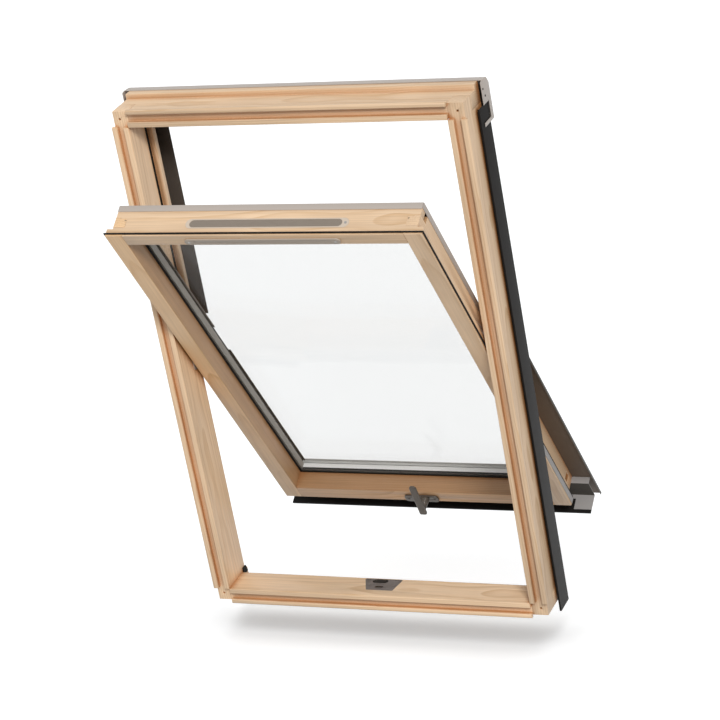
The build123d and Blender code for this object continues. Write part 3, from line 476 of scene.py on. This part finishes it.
glass = bpy.data.materials.new("clear_glass")
glass.use_nodes = True
tree = glass.node_tree
tree.nodes.remove(tree.nodes["Principled BSDF"])
through = tree.nodes.new("ShaderNodeBsdfTransparent")
through.inputs["Color"].default_value = CLEAR_GLASS
shine = tree.nodes.new("ShaderNodeBsdfGlossy")
shine.inputs["Roughness"].default_value = 0.01
facing = tree.nodes.new("ShaderNodeLayerWeight")
facing.inputs["Blend"].default_value = 0.5
edge_on = tree.nodes.new("ShaderNodeMath")
edge_on.operation = "POWER"
edge_on.inputs[1].default_value = 5.0
mirrored = tree.nodes.new("ShaderNodeMapRange")
mirrored.inputs["To Min"].default_value = HEAD_ON_SHINE
mirrored.inputs["To Max"].default_value = EDGE_ON_SHINE
pane = tree.nodes.new("ShaderNodeMixShader")
links(tree, (facing.outputs["Facing"], edge_on.inputs[0]),
      (edge_on.outputs["Value"], mirrored.inputs["Value"]),
      (mirrored.outputs["Result"], pane.inputs["Fac"]),
      (through.outputs["BSDF"], pane.inputs[1]),
      (shine.outputs["BSDF"], pane.inputs[2]),
      (pane.outputs["Shader"], tree.nodes["Material Output"].inputs["Surface"]))
for node in ("glass_inner_pane", "glass_outer_pane"):
    finished(node, glass)


def two_toned(name, below, above, axis, edge):
    """Coated material whose colour changes at one place along an axis of the sash."""
    material = coated_sheet(name, above, 0.0, 0.5)
    tree = material.node_tree
    place = tree.nodes.new("ShaderNodeTexCoord")
    upright = tree.nodes.new("ShaderNodeMapping")
    upright.inputs["Rotation"].default_value = UP_SASH
    parts = tree.nodes.new("ShaderNodeSeparateXYZ")
    beyond = tree.nodes.new("ShaderNodeMath")
    beyond.operation = "GREATER_THAN"
    beyond.inputs[1].default_value = edge
    tone = tree.nodes.new("ShaderNodeMix")
    tone.data_type = "RGBA"
    tone.inputs[6].default_value = below
    tone.inputs[7].default_value = above
    links(tree, (place.outputs["Object"], upright.inputs["Vector"]),
          (upright.outputs["Vector"], parts.inputs["Vector"]), (parts.outputs[axis], beyond.inputs[0]),
          (beyond.outputs["Value"], tone.inputs[0]),
          (tone.outputs[2], tree.nodes["Principled BSDF"].inputs["Base Color"]))
    return material


eased("glass_spacer", SHEET_EASE, coated_sheet("spacer_aluminium", SPACER_COLOUR, 0.2, 0.5),
      two_toned("spacer_foot_painted_reflection", RUBBER_COLOUR, FOOT_PAINTED_REFLECTION, "Y", BLACK_FOOT_DEPTH),
      lambda centre, normal: normal.dot(SASH_UP) > 0.6)
finished("glass_outer_gasket", two_toned("rubber_foot_painted_reflection", FOOT_PAINTED_REFLECTION, RUBBER_COLOUR, "Z", FOOT_HEIGHT))
for node in ("glass_edge_seal", "glass_inner_gasket", "glass_setting_blocks"):
    finished(node, rubber)

# Sash seals: a lipped rubber strip in the kerf of the upper flange, plain strips behind the lower flange,
# and pale edge strips along the lower stiles.
MID_COAT = (0.30, 0.285, 0.275, 1)

for node in ("sash_upper_seal", "sash_lower_seals", "sash_apron_seal"):
    finished(node, rubber)
mid_sheet = coated_sheet("mid_grey_sheet", MID_COAT, 0.0, 0.40)
finished("sash_edge_strips", mid_sheet)

# Sash cladding: folded sheet over the edges of the glass, pale where the room side shows, and dark covers
# on the lower half that reach over the frame. An apron hangs below the bottom rail.
COVER_BACK_COAT = (0.165, 0.125, 0.095, 1)
# Painted reflection: near white put on the bottom cladding for the white floor and room mirrored there.
WHITE_PAINTED_REFLECTION = (0.90, 0.90, 0.88, 1)
SASH_ROOM_SIDE = Vector((0.0, -np.cos(SASH_TILT), -np.sin(SASH_TILT)))


def sash_room_side(centre, normal):
    """True for a face of the open sash that looks towards the room side."""
    return normal.dot(SASH_ROOM_SIDE) > 0.5


cover_back = coated_sheet("cover_back_coat", COVER_BACK_COAT, 0.0, 0.55, 0.25)
for node in ("sash_top_cladding", "sash_upper_cladding_left", "sash_upper_cladding_right"):
    eased(node, SHEET_EASE, pale_sheet)
# The apron's room-facing plate takes the dark cover sheet: painted shade for the shadow under the covers.
eased("sash_bottom_apron", SHEET_EASE, mid_sheet, cover_sheet, sash_room_side)
for node in ("sash_lower_cover_left", "sash_lower_cover_right"):
    eased(node, SHEET_EASE, cover_sheet, cover_back, sash_room_side)
# The bottom cladding's room-facing and up-facing faces take the near white painted reflection.
eased("sash_bottom_cladding", SHEET_EASE, cover_sheet,
      coated_sheet("white_painted_reflection_coat", WHITE_PAINTED_REFLECTION, 0.0, 0.55, 0.25),
      lambda centre, normal: sash_room_side(centre, normal) or normal.dot(SASH_UP) > 0.5)

# Sash pivots: zinc-plated steel plates with bushes, screwed to the stiles, that turn on the frame's pins.
# Black friction washers hold the sash where it is left.
for node in ("sash_pivot_left", "sash_pivot_right", "sash_pivot_screws"):
    finished(node, zinc)
finished("sash_friction_washers", rubber)

# Air vent: a moulded cover and flap on the room face of the top rail, and a woven filter let into its
# top edge. Moulded grey-brown plastic, held by small screws.
VENT_COLOUR = (0.44, 0.375, 0.31, 1)
FILTER_COLOUR = (0.31, 0.263, 0.217, 1)
FILTER_RIM_COLOUR = (0.62, 0.52, 0.42, 1)

vent_plastic = coated_sheet("vent_plastic", VENT_COLOUR, 0.0, 0.45)
for node in ("vent_cover", "vent_flap"):
    eased(node, SHEET_EASE, vent_plastic)
finished("vent_filter_rim", coated_sheet("filter_rim_plastic", FILTER_RIM_COLOUR, 0.0, 0.5))
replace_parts(screw_heads("vent_screw_heads",
                        head_seats("vent_screws", [SASH_ROOM_SIDE, SASH_ROOM_SIDE, SASH_UP]),
                        SCREW_RADIUS, zinc, "sash"), "vent_screws")

# Filter mesh: a fleece in the rim's slot with a plain weave of plastic thread on top. The weave lies on the
# fleece and follows the slot's round ends.
WEAVE_PITCH = 0.002
WEAVE_THREAD = 0.00038
FLEECE_HALF_WIDTH = 0.009
FLEECE_HALF_DEPTH = 0.000625

thread_plastic = coated_sheet("filter_thread", FILTER_COLOUR, 0.0, 0.6)
finished("vent_filter_mesh", thread_plastic)
low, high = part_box("vent_filter_mesh")
fleece_top = np.array((low + high) / 2 + FLEECE_HALF_DEPTH * SASH_UP)


def weave(half_length, half_width, pitch, thread):
    """A plain weave that fills a slot with round ends. The threads of both ways are square tubes whose
    middle follows a cosine across the other way's threads, up for one way where it is down for the other."""
    straight = half_length - half_width
    axes = np.array([ACROSS, -SASH_ROOM_SIDE, SASH_UP])
    tubes = []
    for way, span in ((0, half_width), (1, half_length)):
        for turn, at in enumerate(np.arange(-span + pitch / 2, span, pitch)):
            if way:
                reach = np.sqrt(half_width ** 2 - max(abs(at) - straight, 0) ** 2)
            else:
                reach = straight + np.sqrt(half_width ** 2 - at ** 2)
            along = np.linspace(-reach, reach, max(4, int(6 * reach / pitch)))
            wave = np.cos(np.pi * (along / pitch + turn + way))
            middle = np.stack([along, np.full_like(along, at), thread * (1.2 + wave)], axis=-1)
            corners = thread * np.array([(0, -1, 0), (0, 0, -1), (0, 1, 0), (0, 0, 1)])
            tube = middle[:, None] + corners
            tubes.append((tube[..., [1, 0, 2]] if way else tube) @ axes)
    return tubes


made("filter_weave", [fleece_top + tube for tube in weave((high.x - low.x) / 2, FLEECE_HALF_WIDTH,
                                                          WEAVE_PITCH, WEAVE_THREAD)],
     thread_plastic, "sash")

# Lock: a coated metal base screwed to the bottom rail, a cranked lever on a spindle, and a steel bolt that
# the lever lifts out of the strike.
HANDLE_COLOUR = (0.095, 0.080, 0.066, 1)
LEVER_HALF_WIDTH = 0.0085
LEVER_TIP = (0.084, 0.0225, 0.0025)
LEVER_TOE = (-0.012, 0.037, 0.004)
LEVER_TOE_ROUND = 0.002
NECK = ((0.0045, 0.0096), (0.005, 0.010), (0.012, 0.010), (0.018, 0.0088), (0.025, 0.0078), (0.033, 0.0074))

handle_metal = coated_sheet("handle_coat", HANDLE_COLOUR, 0.3, 0.38)
eased("handle_base", 2 * SHEET_EASE, handle_metal)
spindle = next(j for j in frame["record"]["behaviour"]["joints"] if j["name"] == "handle_turn")["pos_m"]
from_spindle = np.array([ACROSS, SASH_UP, SASH_ROOM_SIDE])


def lever():
    """The lever as a strap and a neck, in widths across, heights up the sash and distances out of it. The
    strap runs straight from tip to toe and thickens on the way; its section is a superellipse of power 4,
    its tip a half circle of its width and its toe a small quarter round. The neck is a turned profile."""
    turn = np.linspace(0, 2 * np.pi, 32, endpoint=False)
    tip, toe = np.array(LEVER_TIP), np.array(LEVER_TOE)
    length = np.hypot(*(toe - tip)[:2])
    run = np.concatenate([LEVER_HALF_WIDTH * (1 - np.cos(np.linspace(0.12, np.pi / 2, 12))),
                          np.linspace(LEVER_HALF_WIDTH, length - LEVER_TOE_ROUND, 14)[1:],
                          length - LEVER_TOE_ROUND * (1 - np.sin(np.linspace(0, 1.45, 6)[1:]))])
    width = LEVER_HALF_WIDTH * np.sqrt(1 - np.clip(1 - run / LEVER_HALF_WIDTH, 0, 1) ** 2)
    toe_in = LEVER_TOE_ROUND * (1 - np.sqrt(1 - np.clip(1 - (length - run) / LEVER_TOE_ROUND, 0, 1) ** 2))
    tip_in = LEVER_TIP[2] * (1 - np.clip(run / LEVER_TIP[2], 0, 1)) ** 2 * 0.6
    up, out, thick = (tip + (toe - tip) * (run / length)[:, None]).T
    shape = [np.sign(f(turn)) * np.sqrt(abs(f(turn))) for f in (np.cos, np.sin)]
    strap = np.stack([(width - toe_in)[:, None] * shape[0], np.repeat(up[:, None], len(turn), axis=1),
                      out[:, None] - (thick - toe_in - tip_in)[:, None] * shape[1]], axis=-1)
    out, radius = np.array(NECK).T
    neck = np.stack([radius[:, None] * np.cos(turn), radius[:, None] * np.sin(turn),
                     np.repeat(out[:, None], len(turn), axis=1)], axis=-1)
    return strap, neck


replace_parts(made("handle_lever_strap", [np.array(spindle) + tube @ from_spindle for tube in lever()],
                 handle_metal, "handle"), "handle_lever")
dark_steel = plated_steel("blackened_steel", HANDLE_COLOUR, 0.45)
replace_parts(screw_heads("handle_screw_heads", head_seats("handle_screws", [SASH_ROOM_SIDE] * 2),
                        SCREW_RADIUS, dark_steel, "sash"), "handle_screws")
for node in ("handle_spindle", "latch_bolt"):
    finished(node, zinc)

# Floor: a plain pale sheet under the window. It shows white to the camera, to mirrors and through glass,
# and keeps the window's soft shadow.
FLOOR_LEVEL = -0.660
FLOOR_HALF = 12.0
FLOOR_BOUNCE = 0.36
FLOOR_SEEN = 0.95
FLOOR_GLOW = 0.31
FLOOR_GLOW_COLOUR = (0.94, 0.985, 1.02, 1)

mesh = bpy.data.meshes.new("floor")
mesh.from_pydata([(-FLOOR_HALF, -FLOOR_HALF, FLOOR_LEVEL), (FLOOR_HALF, -FLOOR_HALF, FLOOR_LEVEL),
                  (FLOOR_HALF, FLOOR_HALF, FLOOR_LEVEL), (-FLOOR_HALF, FLOOR_HALF, FLOOR_LEVEL)], [],
                 [(0, 1, 2, 3)])
floor = bpy.data.objects.new("floor", mesh)
bpy.context.scene.collection.objects.link(floor)
pale_floor = bpy.data.materials.new("pale_floor")
pale_floor.use_nodes = True
tree = pale_floor.node_tree
shader = tree.nodes["Principled BSDF"]
shader.inputs["Roughness"].default_value = 1.0
shader.inputs["Specular IOR Level"].default_value = 0.0
shader.inputs["Emission Color"].default_value = FLOOR_GLOW_COLOUR


def background_rays(tree):
    """1 for a ray from the camera, from a mirror or through glass, and 0 for light on the object."""
    path = tree.nodes.new("ShaderNodeLightPath")
    mirrored = tree.nodes.new("ShaderNodeMath")
    mirrored.operation = "MAXIMUM"
    seen = tree.nodes.new("ShaderNodeMath")
    seen.operation = "MAXIMUM"
    links(tree, (path.outputs["Is Glossy Ray"], mirrored.inputs[0]),
          (path.outputs["Is Transmission Ray"], mirrored.inputs[1]),
          (path.outputs["Is Camera Ray"], seen.inputs[0]), (mirrored.outputs["Value"], seen.inputs[1]))
    return seen.outputs["Value"]


glow = tree.nodes.new("ShaderNodeMath")
glow.operation = "MULTIPLY"
glow.inputs[1].default_value = FLOOR_GLOW
paleness = tree.nodes.new("ShaderNodeMapRange")
paleness.inputs["To Min"].default_value = FLOOR_BOUNCE
paleness.inputs["To Max"].default_value = FLOOR_SEEN
seen = background_rays(tree)
links(tree, (seen, glow.inputs[0]), (glow.outputs["Value"], shader.inputs["Emission Strength"]),
      (seen, paleness.inputs["Value"]), (paleness.outputs["Result"], shader.inputs["Base Color"]))
mesh.materials.append(pale_floor)

# Studio: an even white room, a soft lamp high in front, to the right of the camera, which lights the window
# alone, and a wide lamp overhead, shaded by the frame, which lights the floor alone.
ROOM_LIGHT = 0.48
KEY_FROM = Vector((0.44, -0.636, 0.636))
KEY_SPREAD = np.radians(16)
KEY_POWER = 2.07
TOP_FROM = Vector((0.0, 0.10, 1.0))
TOP_SPREAD = np.radians(60)
TOP_POWER = 1.5

world = bpy.data.worlds.new("white_room")
bpy.context.scene.world = world
world.use_nodes = True
tree = world.node_tree
room = tree.nodes["Background"]
room.inputs["Color"].default_value = (1, 1, 1, 1)
strength = tree.nodes.new("ShaderNodeMapRange")
strength.inputs["To Min"].default_value = ROOM_LIGHT
strength.inputs["To Max"].default_value = 1.0
links(tree, (background_rays(tree), strength.inputs["Value"]),
      (strength.outputs["Result"], room.inputs["Strength"]))


def lamp(name, source, spread, power, floor_state):
    """A sun lamp whose light on the floor is taken out or is all that it gives."""
    sun = bpy.data.lights.new(name, "SUN")
    sun.angle = spread
    sun.energy = power
    light = bpy.data.objects.new(name, sun)
    light.rotation_euler = source.to_track_quat("Z", "Y").to_euler()
    bpy.context.scene.collection.objects.link(light)
    lit = bpy.data.collections.new(name + "_lit")
    lit.objects.link(floor)
    lit.collection_objects[0].light_linking.link_state = floor_state
    light.light_linking.receiver_collection = lit
    return light


lamp("key", KEY_FROM, KEY_SPREAD, KEY_POWER, "EXCLUDE")
top = lamp("top", TOP_FROM, TOP_SPREAD, TOP_POWER, "INCLUDE")
shading = bpy.data.collections.new("top_shading")
for piece in [o for o in bpy.context.scene.objects if o.name.startswith("frame_")]:
    shading.objects.link(piece)
top.light_linking.blocker_collection = shading

# Camera: a long lens well back from the window, to its right and above it, rolled slightly about its own
# axis.
CAMERA_PLACE = (2.461066, -4.867807, 2.481744)
CAMERA_RIGHT = Vector((0.915474, 0.364542, -0.170341))
CAMERA_DOWN = Vector((0.011601, -0.447074, -0.894422))
CAMERA_LENS = 142.947
SENSOR = 36.0

view = bpy.data.cameras.new("view")
view.sensor_fit = "HORIZONTAL"
view.sensor_width = SENSOR
view.lens = CAMERA_LENS
view.clip_end = 60
camera = bpy.data.objects.new("view", view)
ahead = CAMERA_RIGHT.cross(CAMERA_DOWN)
turn = Matrix((CAMERA_RIGHT, -CAMERA_DOWN, -ahead)).transposed()
camera.matrix_world = Matrix.Translation(CAMERA_PLACE) @ turn.to_4x4()
bpy.context.scene.collection.objects.link(camera)
bpy.context.scene.camera = camera
bpy.context.scene.view_settings.view_transform = "Standard"
